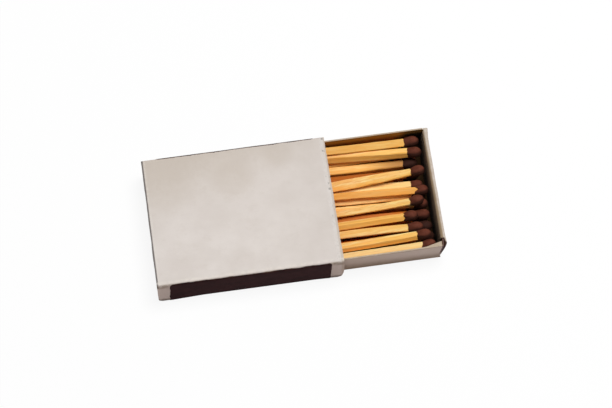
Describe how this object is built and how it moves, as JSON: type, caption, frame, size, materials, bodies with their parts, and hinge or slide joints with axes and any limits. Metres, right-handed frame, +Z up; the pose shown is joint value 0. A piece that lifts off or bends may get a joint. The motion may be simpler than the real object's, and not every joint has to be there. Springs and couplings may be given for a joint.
{
  "type": "matchbox",
  "caption": "Slide-open card matchbox: a blank folded sleeve with a striking strip along each narrow side, and a folded tray of wooden matches that slides out at either end.",
  "frame": {"origin": "middle of the sleeve's underside", "axes": "+X the way the tray is pulled out, +Z up; the sleeve's glued lap is on its -Y side"},
  "size_m": [0.0787, 0.0378, 0.011],
  "materials": {
    "sleeve_card": "matt uncoated card",
    "tray_card": "matt grey-brown card",
    "striker_coat": "dark grainy coat",
    "splint_wood": "raw split wood",
    "head_composition": "matt dried paste"
  },
  "bodies": {
    "sleeve": {"sleeve": "sleeve_card", "front_striker": "striker_coat", "back_striker": "striker_coat"},
    "tray": {"tray": "tray_card", "match_01_splint": "splint_wood", "match_01_head": "head_composition", "match_02_splint": "splint_wood", "match_02_head": "head_composition", "match_03_splint": "splint_wood", "match_03_head": "head_composition", "match_04_splint": "splint_wood", "match_04_head": "head_composition", "match_05_splint": "splint_wood", "match_05_head": "head_composition", "match_06_splint": "splint_wood", "match_06_head": "head_composition", "match_07_splint": "splint_wood", "match_07_head": "head_composition", "match_08_splint": "splint_wood", "match_08_head": "head_composition", "match_09_splint": "splint_wood", "match_09_head": "head_composition", "match_10_splint": "splint_wood", "match_10_head": "head_composition", "match_11_splint": "splint_wood", "match_11_head": "head_composition", "match_12_splint": "splint_wood", "match_12_head": "head_composition", "match_13_splint": "splint_wood", "match_13_head": "head_composition", "match_14_splint": "splint_wood", "match_14_head": "head_composition", "match_15_splint": "splint_wood", "match_15_head": "head_composition", "match_16_splint": "splint_wood", "match_16_head": "head_composition", "match_17_splint": "splint_wood", "match_17_head": "head_composition", "match_18_splint": "splint_wood", "match_18_head": "head_composition", "match_19_splint": "splint_wood", "match_19_head": "head_composition", "match_20_splint": "splint_wood", "match_20_head": "head_composition", "match_21_splint": "splint_wood", "match_21_head": "head_composition", "match_22_splint": "splint_wood", "match_22_head": "head_composition", "match_23_splint": "splint_wood", "match_23_head": "head_composition", "match_24_splint": "splint_wood", "match_24_head": "head_composition", "match_25_splint": "splint_wood", "match_25_head": "head_composition", "match_26_splint": "splint_wood", "match_26_head": "head_composition", "match_27_splint": "splint_wood", "match_27_head": "head_composition", "match_28_splint": "splint_wood", "match_28_head": "head_composition"}
  },
  "joints": [
    {"name": "tray_slide", "type": "slide", "parent": "sleeve", "child": "tray", "axis": [1, 0, 0], "range_m": [-0.0684, 0.0116]}
  ]
}
